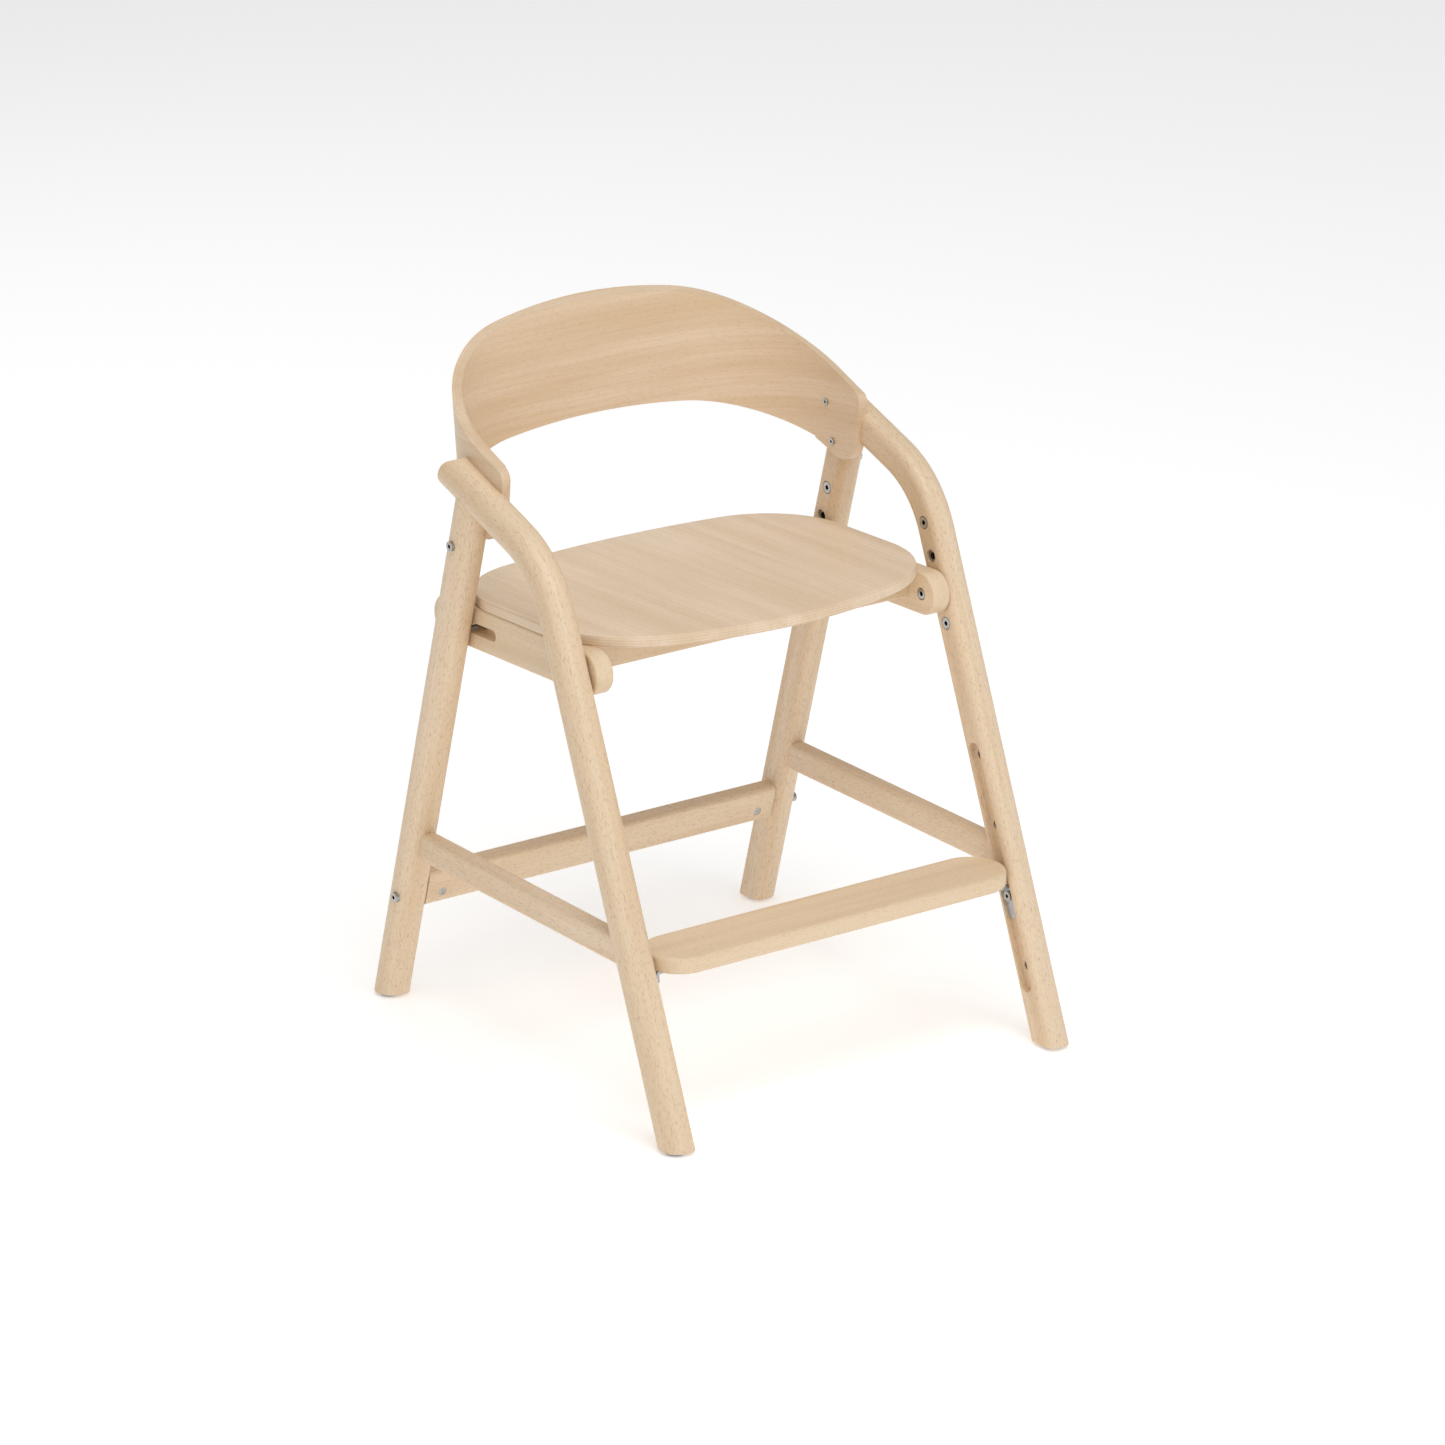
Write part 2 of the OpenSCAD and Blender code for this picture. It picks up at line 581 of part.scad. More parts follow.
module footrest_bracket(side) color("#9A9B9C") on_side(side) difference() {
    union() {
        front_frame() translate([plate_x - plate_thickness, 0, 0]) rotate([0, 90, 0])
            linear_extrude(plate_thickness) {
                for (x = [plate_below - plate_width / 2, plate_width / 2 - plate_above])
                    translate([x - foot_used, 0]) circle(d = plate_width);
                translate([plate_width / 2 - plate_above - foot_used, -plate_width / 2])
                    square([plate_above + plate_below - plate_width, plate_width]);
            }
        front_frame() translate([neck_x, -neck_width / 2, foot_used + plate_above - plate_thickness])
            cube([plate_x - neck_x, neck_width, plate_thickness]);
        translate([neck_x, neck_y - neck_width / 2, neck_z - plate_thickness])
            cube([plate_thickness, neck_width, foot_low - neck_z + plate_thickness]);
        translate([neck_x + plate_thickness - flange_length, foot_y - flange_width / 2, foot_low - plate_thickness])
            cube([flange_length, flange_width, plate_thickness]);
    }
    front_frame() translate([0, 0, foot_used]) pin_x(plate_x - plate_thickness - over, 8, 6.4);
    foot_screw_places() translate([0, 0, -plate_thickness - over]) cylinder(d = screw_d + 0.4, h = 8);
}

// ---------- hardware ----------

// Socket-headed bolt along +X: head from x0 - head height to x0, shank to x0 + length.
module bolt_x(x0, length, d, head, head_h, socket) difference() {
    union() {
        pin_x(x0 - head_h, head_h, head);
        pin_x(x0 - over, length + over, d);
    }
    hex_x(x0 - head_h - over, head_h * 0.7 + over, socket);
}

// Bolt from the outside of a leg, its head in a shallow pocket; length from the outer edge of the leg.
module outer_bolt(length) difference() {
    union() {
        pin_x(half_width - length, length, stretcher_bolt_d);
        pin_x(half_width - pocket, pocket + 3, outer_head_d);
    }
    hex_x(half_width + 0.5, 4, 4);
}

// Pan-headed wood screw along +Z: head under z = 0, point at z = length.
module screw_z(length) difference() {
    union() {
        translate([0, 0, -2.4]) cylinder(d = screw_head_d, h = 2.4);
        translate([0, 0, -over]) cylinder(d = screw_d - 0.1, h = length + over - 3);
        translate([0, 0, length - 3]) cylinder(d1 = screw_d - 0.1, d2 = 0.6, h = 3);
    }
    translate([0, 0, -3.4]) cylinder(d = 3.4, h = 2.6, $fn = 6);
}

// Threaded sleeve along +X from x0.
module insert_x(x0, length, d, bore) difference() {
    pin_x(x0, length, d);
    pin_x(x0 - over, length + 2 * over, bore);
}

module footrest_bolts() color("#B9BABB") both() front_frame() translate([0, 0, foot_used])
    bolt_x(plate_x - plate_thickness, plate_thickness, 6, 11, 3.4, 4);

module footrest_screws() color("#B9BABB") both() foot_screw_places()
    translate([0, 0, -plate_thickness]) screw_z(plate_thickness + 12);

module footrest_inserts() color("#8F9092") both() front_frame() for (a = foot_holes) translate([0, 0, a])
    insert_x(inner_x + groove_depth + 0.5, foot_insert_len - 0.5, foot_insert_d - 2 * fit, 6.2);

module seat_front_bolts() color("#B9BABB") both() seat_frame()
    bolt_x(cross_x + counterbore, bearer_x + bearer_gap - slide_gap - cross_x - counterbore,
           seat_bolt_d, head_d, 5, 5);

module seat_rear_bolts() color("#B9BABB") both() seat_frame() translate([0, bolt_span, 0])
    bolt_x(cross_x - slide_gap - 1.5, bearer_thickness + 1.5 + bearer_gap, seat_bolt_d, head_d, 5, 5);

module seat_rear_washers() color("#8C8D8F") both() seat_frame() translate([0, bolt_span, 0])
    insert_x(cross_x - slide_gap - 1.5, 1.5, washer_d, seat_bolt_d + 0.1);

module seat_inserts() color("#6E6F71") {
    both() front_frame() for (a = front_holes) translate([0, 0, a])
        insert_x(inner_x + 2.5, insert_length, insert_d - 2 * fit, seat_bolt_d + 0.2);
    both() rear_frame() for (a = rear_holes) translate([0, 0, a])
        insert_x(inner_x + 2.5, insert_length, insert_d - 2 * fit, seat_bolt_d + 0.2);
}

module accessory_plugs() color("#C2C3C4") both() {
    front_frame() for (i = [0, 3]) translate([0, 0, front_holes[i]])
        bolt_x(inner_x + 2.5, 11, seat_bolt_d, 12.8, 2.4, 5);
    rear_frame() translate([0, 0, rear_holes[2]])
        bolt_x(inner_x + 2.5, 11, seat_bolt_d, 12.8, 2.4, 5);
}

module leg_bolts() color("#B9BABB") both() rear_frame() translate([0, 0, leg_bolt_along])
    outer_bolt(22);

module stretcher_bolts() color("#B9BABB") both() rear_frame()
    translate([0, stretcher_off + 10, stretcher_bolt_along]) outer_bolt(leg_thickness + 28);

module stretcher_barrel_nuts() color("#8F9092") both() rear_frame()
    translate([inner_x - barrel_in, stretcher_off + 0.3, stretcher_bolt_along]) difference() {
        rotate([-90, 0, 0]) cylinder(d = barrel_d - 2 * fit, h = 14.7);
        translate([0, 9.7, 0]) pin_x(-10, 20, stretcher_bolt_d + 2 * fit);
    }

module backrest_screws() color("#C2C3C4") both() {
    arm_frame() translate([back_x, 0, arm_screw]) rotate([0, 90, 0]) screw_z(24);
    rear_frame() translate([back_x, 0, leg_screw]) rotate([0, 90, 0]) screw_z(24);
}

module seat_screws() color("#B9BABB") seat_frame() seat_screw_places()
    translate([0, 0, -cross_height + 12]) screw_z(cross_height - 12 + 7);

module bearer_dowels() color("#C9A878") both() seat_frame() bearer_dowel_places()
    pin_x(-20, 20 + bearer_dowel_in, dowel_d - 2 * fit);

module dowels() color("#C9A878") both() {
    rear_frame() for (w = [-1, 1]) translate([inner_x + nose_x, w * dowel_step, joint_along - dowel_half])
        cylinder(d = dowel_d - 2 * fit, h = 2 * dowel_half - 1);
    side_dowel_pin(true);
    side_dowel_pin(false);
}

module side_dowel_pin(front) {
    y = front ? -foot_spread / 2 + tan(front_lean) * side_rail_level + nose / cos(front_lean)
              : foot_spread / 2 - tan(rear_lean) * side_rail_level - nose / cos(rear_lean);
    translate([rail_x, y - 16, side_rail_level]) rotate([-90, 0, 0]) cylinder(d = dowel_d - 2 * fit, h = 31);
}

module glides() color("#D5D6D4") both() for (end = [-1, 1]) glide_frame(end) difference() {
    union() {
        cylinder(d1 = glide_d - 3, d2 = glide_d, h = 1.5);
        translate([0, 0, 1.5]) cylinder(d = glide_d, h = glide_h - 1.5);
    }
    translate([0, 0, 1]) cylinder(d = nail_d, h = 10);
    translate([0, 0, -over]) cylinder(d = 6, h = 1 + over + 1);
}

module glide_nails() color("#8F9092") both() for (end = [-1, 1]) glide_frame(end) {
    translate([0, 0, 1]) cylinder(d = 5.8, h = 1);
    translate([0, 0, 1]) cylinder(d = nail_d - 0.1, h = 15);
}

front_leg(-1);  // front_leg_left
front_leg(1);  // front_leg_right
rear_leg(-1);  // rear_leg_left
rear_leg(1);  // rear_leg_right
side_rail(-1);  // side_rail_left
side_rail(1);  // side_rail_right
rear_stretcher();
backrest();
seat();
seat_bearer(-1);  // seat_bearer_left
seat_bearer(1);  // seat_bearer_right
seat_cross_rail(front_cross_y);  // seat_cross_rail_front
seat_cross_rail(rear_cross_y);  // seat_cross_rail_rear
footrest_board();
footrest_bracket(-1);  // footrest_bracket_left
footrest_bracket(1);  // footrest_bracket_right
footrest_bolts();
footrest_screws();
footrest_inserts();
seat_front_bolts();
seat_rear_bolts();
seat_rear_washers();
seat_inserts();
accessory_plugs();
leg_bolts();
stretcher_bolts();
stretcher_barrel_nuts();
backrest_screws();
seat_screws();
bearer_dowels();
dowels();
glides();
glide_nails();
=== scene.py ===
"""Looks of the wooden high chair: turned and bent beech, beech ply, nickel-plated fasteners."""
import bmesh
import bpy
import numpy as np
from math import atan2, cos, pi, radians, sin
from mathutils import Matrix, Vector


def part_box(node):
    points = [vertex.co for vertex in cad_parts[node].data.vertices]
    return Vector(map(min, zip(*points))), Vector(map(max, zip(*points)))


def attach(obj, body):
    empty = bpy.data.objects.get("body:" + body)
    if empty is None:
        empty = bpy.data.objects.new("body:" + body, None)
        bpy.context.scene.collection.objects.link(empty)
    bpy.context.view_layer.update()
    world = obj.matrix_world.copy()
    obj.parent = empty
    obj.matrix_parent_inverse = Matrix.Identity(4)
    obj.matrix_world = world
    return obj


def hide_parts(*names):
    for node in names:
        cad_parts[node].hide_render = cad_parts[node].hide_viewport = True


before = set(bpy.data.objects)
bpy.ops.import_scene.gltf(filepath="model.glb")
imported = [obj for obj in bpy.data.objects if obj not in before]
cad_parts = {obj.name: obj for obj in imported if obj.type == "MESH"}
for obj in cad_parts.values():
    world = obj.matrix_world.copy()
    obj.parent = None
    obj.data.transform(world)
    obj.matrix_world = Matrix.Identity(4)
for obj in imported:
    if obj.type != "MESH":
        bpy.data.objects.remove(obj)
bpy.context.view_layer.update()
MM = 0.001

# Sizes of the chair, in metres and radians, that the grain and the boards follow.
FRONT_LEAN, REAR_LEAN, SEAT_SLOPE = radians(21.95), radians(15.85), radians(2.29)
FOOT_Y = 270.2 * MM                        # glides in front of and behind the middle
BEND_START, BEND_RADIUS, BEND = 568 * MM, 116 * MM, radians(48.7)
SEAT_PIN = np.array([0, -81.735, 467.65]) * MM   # front seat bolt, middle of the bearer
BEARER_HALF = 23.5 * MM
BACK_LEAN, BACK_PIVOT = radians(6.05), np.array([0, 93.7, 600.0]) * MM
BACK_ARC, BACK_CORNER = 1190 * MM, 125 * MM      # inner radii of the backrest: rear, corners
BACK_CORNER_X, BACK_REAR_Y = 101.4 * MM, 132.6 * MM
BACK_PLY, BACK_PAIRS = 10.6 * MM, 4              # thickness, and pairs of veneers in it

# Plan of the seat in mm, measured from the front bolt along the slope.
SEAT_PLY = 12
SEAT_HALF, SEAT_FRONT = 229.5, -67.3             # half width, front edge
FRONT_ARC, FRONT_CORNER = 430, 130               # radii of the front edge and its corners
REAR_ARC, REAR_CORNER = 925, 105

MICRON = 1e-6
CRISP = radians(32)                              # edges sharper than this stay crisp
FLAT_FIRST = 60                                  # how strongly big faces set the normals
GRAIN_STEP = np.array([0.31, 0.17, 0.83])        # moves the grain from one piece to the next


def direction(lean):
    """Unit vectors along and across a line leaning back from vertical by the given angle."""
    return np.array([0, sin(lean), cos(lean)]), np.array([0, cos(lean), -sin(lean)])


# ---------- where the grain runs: (across, through, along) in metres for every point ----------

def straight(start, lean):
    """Grain of a straight piece: x, then the distances across and along the leaning axis."""
    along, across = direction(lean)
    return lambda p: np.stack([p[:, 0], (p - start) @ across, (p - start) @ along], 1)


def crosswise(p):
    """Grain of a piece that lies across the chair: y, z and x."""
    return p[:, [1, 2, 0]]


def bent_leg(p):
    """Grain of a bent front leg. Up to the bend it is straight; in the bend the distance along is
    the bend radius times the angle turned, and across is the radius less the distance from the
    bend centre; past the bend both are measured on the armrest's own axis."""
    along, across = direction(FRONT_LEAN)
    q = p - np.array([0, -FOOT_Y, 0])
    t, n = q @ along - BEND_START, q @ across
    angle = np.arctan2(t, BEND_RADIUS - n)
    bend_t = BEND_RADIUS * angle
    bend_n = BEND_RADIUS - np.hypot(BEND_RADIUS - n, t)
    end_t, end_n = BEND_RADIUS * sin(BEND), BEND_RADIUS * (1 - cos(BEND))
    arm_t = BEND_RADIUS * BEND + (t - end_t) * cos(BEND) + (n - end_n) * sin(BEND)
    arm_n = (n - end_n) * cos(BEND) - (t - end_t) * sin(BEND)
    far = (t > 0) & ((angle > BEND) | (n > BEND_RADIUS))
    s = np.where(t < 0, t, np.where(far, arm_t, bend_t))
    m = np.where(t < 0, n, np.where(far, arm_n, bend_n))
    return np.stack([p[:, 0], m, s + BEND_START], 1)


def round_back(p):
    """Grain of the backrest: height up the band, depth from its inner face, and the distance round
    the bend from the middle. In the band's own leaning plan the inner face is an arc of radius 1190
    at the rear, an arc of radius 125 at each corner, and straight from there to the front. Depth is
    the distance from the arc's centre less its radius; the distance round is radius times angle."""
    c, s = cos(BACK_LEAN), sin(BACK_LEAN)
    dy, dz = p[:, 1] - BACK_PIVOT[1], p[:, 2] - BACK_PIVOT[2]
    x, y, z = np.abs(p[:, 0]), dy * c - dz * s, dy * s + dz * c
    big, small, cx = BACK_ARC, BACK_CORNER, BACK_CORNER_X
    cy = BACK_REAR_Y - big
    gap = np.sqrt((big - small) ** 2 - cx ** 2)
    yc, turn = cy + gap, atan2(cx, gap)
    rear = np.arctan2(x, y - cy)
    corner = np.clip(np.arctan2(x - cx, y - yc), turn, pi / 2)
    in_rear, ahead = rear < turn, y < yc
    depth = np.where(in_rear, np.hypot(x, y - cy) - big,
                     np.where(ahead, x - cx - small, np.hypot(x - cx, y - yc) - small))
    way = np.where(in_rear, big * rear, big * turn + small * (corner - turn)
                   + np.where(ahead, yc - y, 0))
    return np.stack([z, depth, np.sign(p[:, 0]) * way], 1)


# ---------- meshes ----------

def add_grain(mesh, rule, shift, pair=1.0):
    """Stores the grain of every point, moved by shift so that no two pieces match, and "ply", the
    distance through the board counted in pairs of veneers."""
    co = np.empty(len(mesh.vertices) * 3)
    mesh.vertices.foreach_get("co", co)
    g = rule(co.reshape(-1, 3))
    ply = g[:, 1] / pair
    mesh.attributes.new("ply", "FLOAT", "POINT").data.foreach_set("value", ply.astype(np.float32))
    g = g + GRAIN_STEP * shift
    mesh.attributes.new("grain", "FLOAT_VECTOR", "POINT").data.foreach_set(
        "vector", g.astype(np.float32).ravel())


def show(name, mesh, body, finish, node):
    """Puts a piece in the scene in place of its CAD node."""
    mesh.materials.clear()
    mesh.materials.append(finish)
    piece = bpy.data.objects.new(name, mesh)
    bpy.context.scene.collection.objects.link(piece)
    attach(piece, body)
    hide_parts(node)
    return piece


def joined(node, name):
    """The CAD solid's triangles joined up in a bmesh and shaded smooth over its rounded edges,
    with every sharper edge kept crisp, and an empty mesh to put them in."""
    bm = bmesh.new()
    bm.from_mesh(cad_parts[node].data)
    bmesh.ops.remove_doubles(bm, verts=bm.verts, dist=2 * MICRON)
    for face in bm.faces:
        face.smooth = True
    for line in bm.edges:
        line.smooth = line.calc_face_angle(pi) < CRISP
    return bm, bpy.data.meshes.new(name)


def machined(node, body, finish, rule, shift, pair=1.0):
    """A bored, slotted or bent wooden piece."""
    bm, mesh = joined(node, node + "_worked")
    bm.to_mesh(mesh)
    bm.free()
    add_grain(mesh, rule, shift, pair)
    piece = show(mesh.name, mesh, body, finish, node)
    even = piece.modifiers.new("flat faces stay flat", "WEIGHTED_NORMAL")
    even.keep_sharp, even.weight = True, FLAT_FIRST


def whole(start):
    """All points joined to a point by edges."""
    seen, todo = {start}, [start]
    while todo:
        for line in todo.pop().link_edges:
            for point in line.verts:
                if point not in seen:
                    seen.add(point)
                    todo.append(point)
    return seen


def plated(node, body, socket):
    """Bolts or screws that lie along x. The face attribute "recess" is 1 on the walls and floor of
    each hexagon socket: faces whose points are all within the socket's radius, in mm, of the axis
    through the middle of the fastener. The finish colours these faces near black as painted shade."""
    bm, mesh = joined(node, node + "_plated")
    recess = bm.faces.layers.float.new("recess")
    left = set(bm.verts)
    while left:
        one = whole(next(iter(left)))
        left -= one
        co = np.array([v.co for v in one])
        mid = (co.min(0) + co.max(0)) / 2
        near = {v for v in one if np.hypot(v.co.y - mid[1], v.co.z - mid[2]) < socket * MM}
        for face in {f for v in near for f in v.link_faces}:
            face[recess] = float(all(v in near for v in face.verts))
    bm.to_mesh(mesh)
    bm.free()
    show(mesh.name, mesh, body, nickel, node)


def outline(arcs, steps=40):
    """A closed convex outline of tangent arcs. The point whose outward direction is t is the arc's
    centre plus its radius times (cos t, sin t). Returns the points and their directions."""
    points, ways = [], []
    for cx, cy, r, t0, t1 in arcs:
        t = np.linspace(t0, t1, steps)
        way = np.stack([np.cos(t), np.sin(t)], 1)
        points.append([cx, cy] + r * way)
        ways.append(way)
    return np.vstack(points), np.vstack(ways)


def board(name, arcs, thickness, lower, upper, place):
    """A flat board: the outline carried over its edge profile. The profile goes a quarter turn of
    radius lower round the bottom edge, up the side, and a quarter turn of radius upper at the top;
    each of its points is (outline - inset * direction, height)."""
    line, way = outline(arcs)
    q = np.linspace(0, pi / 2, 7)
    inset = np.r_[lower * (1 - np.sin(q)), upper * (1 - np.cos(q))]
    height = np.r_[lower * (1 - np.cos(q)), thickness - upper * (1 - np.sin(q))]
    n, m = len(line), len(inset)
    flat = line[None] - inset[:, None, None] * way[None]
    co = np.dstack([flat, np.broadcast_to(height[:, None], (m, n))]).reshape(-1, 3)
    co = np.array([place @ Vector(c) for c in co])
    i, j = np.meshgrid(np.arange(m - 1), np.arange(n), indexing="ij")
    k = (j + 1) % n
    quads = np.stack([i * n + j, i * n + k, (i + 1) * n + k, (i + 1) * n + j], 2).reshape(-1, 4)
    faces = quads.tolist() + [list(range(n))[::-1], list(range((m - 1) * n, m * n))]
    mesh = bpy.data.meshes.new(name)
    mesh.from_pydata(co.tolist(), [], faces)
    bm = bmesh.new()
    bm.from_mesh(mesh)
    bmesh.ops.remove_doubles(bm, verts=bm.verts, dist=MICRON)
    bmesh.ops.recalc_face_normals(bm, faces=bm.faces)
    for face in bm.faces:
        face.smooth = len(face.verts) < 5
    bm.to_mesh(mesh)
    bm.free()
    return mesh


# ---------- finishes ----------

def rgb(code):
    """An sRGB hex colour as linear red, green, blue and 1."""
    c = np.array([int(code[k:k + 2], 16) for k in (1, 3, 5)]) / 255
    return (*np.where(c <= 0.04045, c / 12.92, ((c + 0.055) / 1.055) ** 2.4), 1.0)


def add(tree, kind, links=(), **settings):
    """Adds a node. Settings are its own properties or, with a leading i, its numbered inputs."""
    node = tree.nodes.new("ShaderNode" + kind)
    for key, value in settings.items():
        if key[0] == "i" and key[1:].isdigit():
            node.inputs[int(key[1:])].default_value = value
        else:
            setattr(node, key, value)
    for key, source in dict(links).items():
        tree.links.new(source, node.inputs[key])
    return node


def material(name, **shader):
    """A new material: its tree and its principled shader with the given values."""
    m = bpy.data.materials.new(name)
    m.use_nodes = True
    skin = m.node_tree.nodes["Principled BSDF"]
    for key, value in shader.items():
        skin.inputs[key.replace("_", " ").title().replace("Ior", "IOR")].default_value = value
    return m, m.node_tree, skin


def ramp(tree, source, low, high):
    """0 below low, 1 above high and a smooth step between."""
    return add(tree, "MapRange", {0: source}, i1=low, i2=high,
               interpolation_type="SMOOTHSTEP").outputs[0]


def streaks(tree, grain, wide, long, detail, seed=0.0):
    """Noise stretched along the grain: wide and long are the size of one streak, in mm, detail the
    number of finer layers in it, and seed moves it so that two kinds of streak don't coincide."""
    size = (1000 / wide, 1000 / wide, 1000 / long)
    scaled = add(tree, "VectorMath", {0: grain}, operation="MULTIPLY", i1=size)
    moved = add(tree, "VectorMath", {0: scaled.outputs[0]}, operation="ADD", i1=(seed, seed, seed))
    return add(tree, "TexNoise", {"Vector": moved.outputs[0]}, i2=1.0, i3=detail).outputs[0]


def tint(tree, a, b, factor):
    """Mixes colour a towards b. Either may be a colour value or a socket."""
    node = add(tree, "Mix", {0: factor}, data_type="RGBA")
    for slot, value in ((6, a), (7, b)):
        if isinstance(value, tuple):
            node.inputs[slot].default_value = value
        else:
            tree.links.new(value, node.inputs[slot])
    return node.outputs[2]


def times(tree, source, k):
    """The source multiplied by k."""
    return add(tree, "Math", {0: source}, operation="MULTIPLY", i1=k).outputs[0]


def beech(name, pale, tan, fleck, flecks, layered):
    """Beech, planed and sanded, under clear matt lacquer. Broad soft bands of tone, fine lines
    along the grain and the short dark flecks of the rays, as strong as flecks says. A layered
    board has veins on its faces and shows its veneers on its bare edges: the dark one of each pair
    is where the cosine of the ply count, as an angle, is low."""
    m, tree, skin = material(name, roughness=0.5, coat_weight=0.12, coat_roughness=0.4, ior=1.5)
    grain = add(tree, "Attribute", attribute_name="grain").outputs["Vector"]
    # Growth bands 22 mm wide, lines 1.4 mm apart, and flecks of 0.7 by 6 mm, drawn a little coarser
    # than real ones so that they show.
    band = ramp(tree, streaks(tree, grain, 22, 420, 3), 0.32, 0.72)
    line = ramp(tree, streaks(tree, grain, 1.4, 100, 2, 7), 0.35, 0.75)
    ray = ramp(tree, streaks(tree, grain, 0.7, 6, 1, 3), 0.58, 0.70)
    colour = tint(tree, rgb(pale), rgb(tan), band)
    colour = tint(tree, colour, rgb(tan), times(tree, line, 0.45))
    colour = tint(tree, colour, rgb(fleck), times(tree, ray, flecks))
    if layered:
        # Wandering veins of the sliced face veneer. The wave turns 20 radians per unit, so 39
        # units to the metre put them 8 mm apart.
        veined = add(tree, "VectorMath", {0: grain}, operation="MULTIPLY", i1=(39, 39, 1.6))
        vein = add(tree, "TexWave", {"Vector": veined.outputs[0]}, i1=1.0, i2=6.0, i3=2.0, i4=1.0)
        vein = ramp(tree, vein.outputs["Fac"], 0.72, 1.0)
        colour = tint(tree, colour, rgb(fleck), times(tree, vein, 0.05))
        ply = add(tree, "Attribute", attribute_name="ply").outputs["Fac"]
        wave = add(tree, "Math", {0: times(tree, ply, 2 * pi)}, operation="COSINE").outputs[0]
        dark = add(tree, "MapRange", {0: wave}, i1=0.15, i2=-0.35).outputs[0]
        colour = tint(tree, colour, rgb(fleck), times(tree, dark, 0.16))
    tree.links.new(colour, skin.inputs["Base Color"])
    height = add(tree, "Math", {0: ray, 1: line}, operation="ADD").outputs[0]
    bump = add(tree, "Bump", {"Height": height}, i0=0.12, i1=0.00008, invert=True)
    tree.links.new(bump.outputs[0], skin.inputs["Normal"])
    rough = add(tree, "MapRange", {0: line}, i3=0.44, i4=0.56).outputs[0]
    tree.links.new(rough, skin.inputs["Roughness"])
    return m


def metal(name, bright, dull, rough, metallic, grit, sockets=False):
    """Metal with a fine uneven surface: grit is the size of its marks in mm. With sockets, the
    walls and floor of bolt sockets are coloured near black: painted shade for the shadow inside
    them."""
    m, tree, skin = material(name, metallic=metallic, roughness=rough)
    place = add(tree, "TexCoord").outputs["Object"]
    marks = add(tree, "TexNoise", {"Vector": place}, i2=1000 / grit, i3=3.0).outputs[0]
    colour = tint(tree, rgb(bright), rgb(dull), ramp(tree, marks, 0.3, 0.75))
    if sockets:
        # Painted shade: the socket walls and floor marked by "recess" are mixed to near black.
        recess = add(tree, "Attribute", attribute_name="recess").outputs["Fac"]
        colour = tint(tree, colour, rgb("#15130F"), recess)
    tree.links.new(colour, skin.inputs["Base Color"])
    tree.links.new(add(tree, "MapRange", {0: marks}, i3=rough * 0.75, i4=rough * 1.35).outputs[0],
                   skin.inputs["Roughness"])
    bump = add(tree, "Bump", {"Height": marks}, i0=0.08, i1=0.00005)
    tree.links.new(bump.outputs[0], skin.inputs["Normal"])
    return m


# Steamed solid beech: fine dark ray flecks all along the legs and rails.
leg_beech = beech("solid_beech_matt_lacquer", "#E9D2B5", "#DCC09C", "#A87B52", 0.50, False)
# Footrest and bearers: the same wood, quieter flecks on the flat-sawn faces.
board_beech = beech("flat_sawn_beech_matt_lacquer", "#E8D1B2", "#DDC39F", "#A87B52", 0.32, False)
# Moulded beech ply of the backrest: long lines round the bend and stacked veneers on its edges.
back_ply = beech("moulded_beech_ply_lacquer", "#E8D0B4", "#DABD98", "#A97B50", 0.24, True)
# Beech ply of the seat: paler, lines from front to back.
seat_ply = beech("beech_ply_lacquer", "#ECD7BD", "#E1C8A8", "#AB8059", 0.20, True)
# Nickel-plated steel of bolts and barrel nuts: bright, slightly soft reflections, with painted
# shade near black in the bolt sockets.
nickel = metal("nickel_plated_steel", "#C4C3BF", "#8F8D89", 0.22, 1.0, 1.2, sockets=True)
# Blackened zinc of the sunk inserts: a dull grey glint at the bottom of dark holes.
dark_zinc = metal("blackened_zinc", "#B4AFA7", "#87827A", 0.34, 0.95, 0.8)
# Zinc-plated bracket steel under clear lacquer: light grey, satin.
grey_steel = metal("lacquered_zinc_plated_steel", "#C2C4C8", "#A9ACB0", 0.38, 0.55, 2.0)
# Moulded nylon of the glides: light grey, faintly mottled.
nylon = metal("moulded_grey_nylon", "#9AA2AD", "#868E99", 0.5, 0.0, 3.0)

# ---------- pieces ----------

STRAIGHT = {
    "rear_leg": straight(np.array([0, FOOT_Y, 0]), -REAR_LEAN),
    "rail": straight(np.zeros(3), pi / 2),
    "bearer": straight(SEAT_PIN, pi / 2 + SEAT_SLOPE),
}
for k, side in enumerate(("left", "right")):
    machined(f"front_leg_{side}", "frame", leg_beech, bent_leg, 1 + k)
    machined(f"rear_leg_{side}", "frame", leg_beech, STRAIGHT["rear_leg"], 3 + k)
    machined(f"side_rail_{side}", "frame", leg_beech, STRAIGHT["rail"], 5 + k)
    machined(f"seat_bearer_{side}", "seat_unit", board_beech,
             STRAIGHT["bearer"], 7 + k)
machined("rear_stretcher", "frame", leg_beech, crosswise, 9)
for k, end in enumerate(("front", "rear")):
    machined(f"seat_cross_rail_{end}", "seat_unit", board_beech, crosswise,
             10 + k)
machined("backrest", "frame", back_ply, round_back, 12, pair=BACK_PLY / BACK_PAIRS)


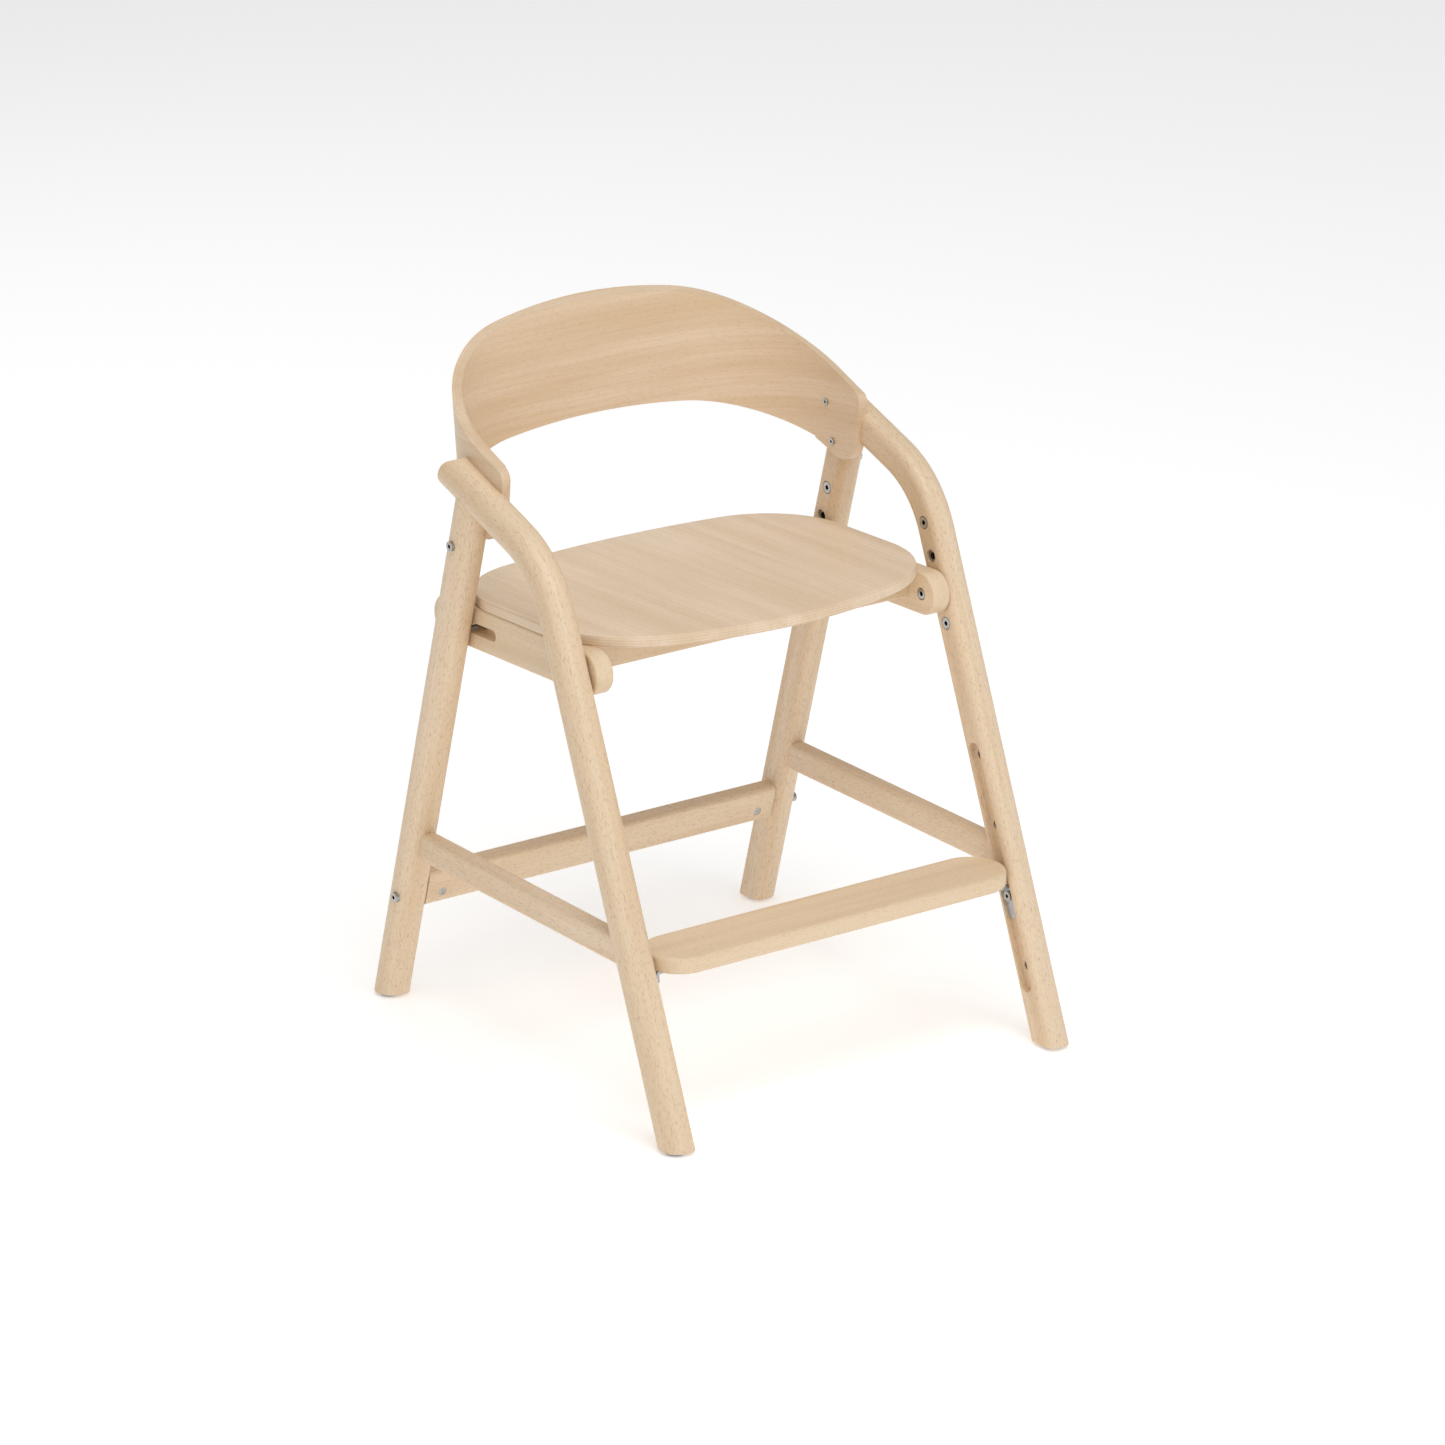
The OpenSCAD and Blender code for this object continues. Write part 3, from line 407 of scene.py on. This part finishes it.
def seat_arcs(depth):
    """Plan of the seat from the front bolt: front corner and rear corner on the right, rear edge,
    the same corners on the left, front edge. An edge's arc is centred on x = 0 and touches the
    corner arcs inside, so the centres are as far apart as the radii differ."""
    front_x, rear_x = SEAT_HALF - FRONT_CORNER, SEAT_HALF - REAR_CORNER
    front_up = np.sqrt((FRONT_ARC - FRONT_CORNER) ** 2 - front_x ** 2)
    rear_up = np.sqrt((REAR_ARC - REAR_CORNER) ** 2 - rear_x ** 2)
    front_cy, rear_cy = SEAT_FRONT + FRONT_ARC, depth - REAR_ARC
    a, b = atan2(rear_up, rear_x), atan2(front_up, front_x)
    arcs = [(front_x, front_cy - front_up, FRONT_CORNER, -b, 0),
            (rear_x, rear_cy + rear_up, REAR_CORNER, 0, a),
            (0, rear_cy, REAR_ARC, a, pi - a),
            (-rear_x, rear_cy + rear_up, REAR_CORNER, pi - a, pi),
            (-front_x, front_cy - front_up, FRONT_CORNER, pi, pi + b),
            (0, front_cy, FRONT_ARC, pi + b, 2 * pi - b)]
    return [(x * MM, y * MM, r * MM, t0, t1) for x, y, r, t0, t1 in arcs]


# The rear edge is the CAD seat's depth, laid along the slope, behind the front edge, less the share
# of it that the slope of the ply's own thickness takes.
low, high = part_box("seat")
seat_rear = (high.y - low.y) / cos(SEAT_SLOPE) / MM + SEAT_FRONT - SEAT_PLY * sin(SEAT_SLOPE)
seat_place = (Matrix.Translation(SEAT_PIN) @ Matrix.Rotation(-SEAT_SLOPE, 4, "X")
              @ Matrix.Translation((0, 0, BEARER_HALF)))
seat_along, seat_down = direction(pi / 2 + SEAT_SLOPE)
seat_base = np.array(seat_place.translation)


def seat_grain(p):
    """Grain of the seat: x, the height above its underside and the distance along the slope."""
    return np.stack([p[:, 0], -(p - seat_base) @ seat_down, (p - seat_base) @ seat_along], 1)


seat = board("seat_board", seat_arcs(seat_rear), SEAT_PLY * MM, 2.2 * MM, 2.6 * MM, seat_place)
add_grain(seat, seat_grain, 13, SEAT_PLY * MM / 4)
show("seat_board", seat, "seat_unit", seat_ply, "seat")

# Footrest: a straight board with half-round ends.
low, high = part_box("footrest_board")
mid, half = (low + high) / 2, (high - low) / 2
ends = [(half.x - half.y, 0, half.y, -pi / 2, pi / 2),
        (half.y - half.x, 0, half.y, pi / 2, 1.5 * pi)]
tread = board("footrest_tread", ends, 2 * half.z, 3 * MM, 4 * MM,
              Matrix.Translation((mid.x, mid.y, low.z)))
add_grain(tread, crosswise, 14)
show("footrest_tread", tread, "footrest_unit", board_beech, "footrest_board")

# Bolts and screws, with the radius in mm that holds each socket, whose walls and floor get painted
# shade.
for node, body, socket in (
        ("footrest_bolts", "footrest_unit", 2.4), ("seat_front_bolts", "seat_unit", 3.0),
        ("seat_rear_bolts", "rear_seat_bolts", 3.0), ("accessory_plugs", "frame", 3.0),
        ("leg_bolts", "frame", 2.4), ("stretcher_bolts", "frame", 2.4),
        ("backrest_screws", "frame", 1.75)):
    plated(node, body, socket)

# The small pieces that keep their CAD shapes.
FINISHES = {
    "footrest_bracket_left": grey_steel, "footrest_bracket_right": grey_steel,
    "footrest_screws": nickel, "footrest_inserts": dark_zinc, "seat_rear_washers": nickel,
    "seat_inserts": dark_zinc, "stretcher_barrel_nuts": nickel, "seat_screws": nickel,
    "glides": nylon, "glide_nails": nickel, "dowels": board_beech, "bearer_dowels": board_beech,
}
for node, finish in FINISHES.items():
    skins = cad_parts[node].data.materials
    for k in range(len(skins)):
        skins[k] = finish

# ---------- floor, light and camera ----------

def floor():
    """A level square 12 m across, just under the glides."""
    mesh = bpy.data.meshes.new("floor")
    mesh.from_pydata([(-6, -6, 0), (6, -6, 0), (6, 6, 0), (-6, 6, 0)], [], [(0, 1, 2, 3)])
    # Matt white paper sweep, bright enough to stay plain white.
    m, _, skin = material("white_paper_sweep", roughness=0.95, emission_strength=0.33)
    skin.inputs["Base Color"].default_value = rgb("#F7F7F7")
    skin.inputs["Emission Color"].default_value = (1, 1, 1, 1)
    mesh.materials.append(m)
    piece = bpy.data.objects.new("floor", mesh)
    bpy.context.scene.collection.objects.link(piece)


def softbox(name, spot, aim, size, power):
    """A square area lamp at spot, turned to aim: size in metres, power in watts."""
    lamp = bpy.data.lights.new(name, "AREA")
    lamp.size, lamp.energy = size, power
    piece = bpy.data.objects.new(name, lamp)
    piece.location = spot
    piece.rotation_euler = (Vector(aim) - Vector(spot)).to_track_quat("-Z", "Y").to_euler()
    bpy.context.scene.collection.objects.link(piece)


floor()
softbox("key", (-0.5, -1.7, 4.0), (0, 0, 0.4), 3.2, 85)
softbox("front", (0.9, -4.0, 1.7), (0, 0, 0.4), 2.4, 14)
softbox("left", (-3.4, -1.2, 1.6), (0, 0, 0.4), 2.4, 5)
softbox("rear", (0.5, 3.0, 2.6), (0, 0, 0.5), 2.0, 12)
world = bpy.data.worlds.new("studio")
world.use_nodes = True
world.node_tree.nodes["Background"].inputs[0].default_value = (1, 1, 1, 1)
world.node_tree.nodes["Background"].inputs[1].default_value = 0.44
bpy.context.scene.world = world
bpy.context.scene.view_settings.view_transform = "Standard"

# A long lens 8 m off, in front, to the left and above.
lens = bpy.data.cameras.new("camera")
lens.sensor_width, lens.lens, lens.clip_end = 36, 184.59, 40
eye = bpy.data.objects.new("camera", lens)
right = Vector((0.81281, -0.58253, 0))
up = Vector((0.19932, 0.27812, 0.93964))
turn = Matrix((right, up, right.cross(up))).transposed()
eye.matrix_world = Matrix.Translation((-4.32411, -6.04098, 3.04668)) @ turn.to_4x4()
bpy.context.scene.collection.objects.link(eye)
bpy.context.scene.camera = eye
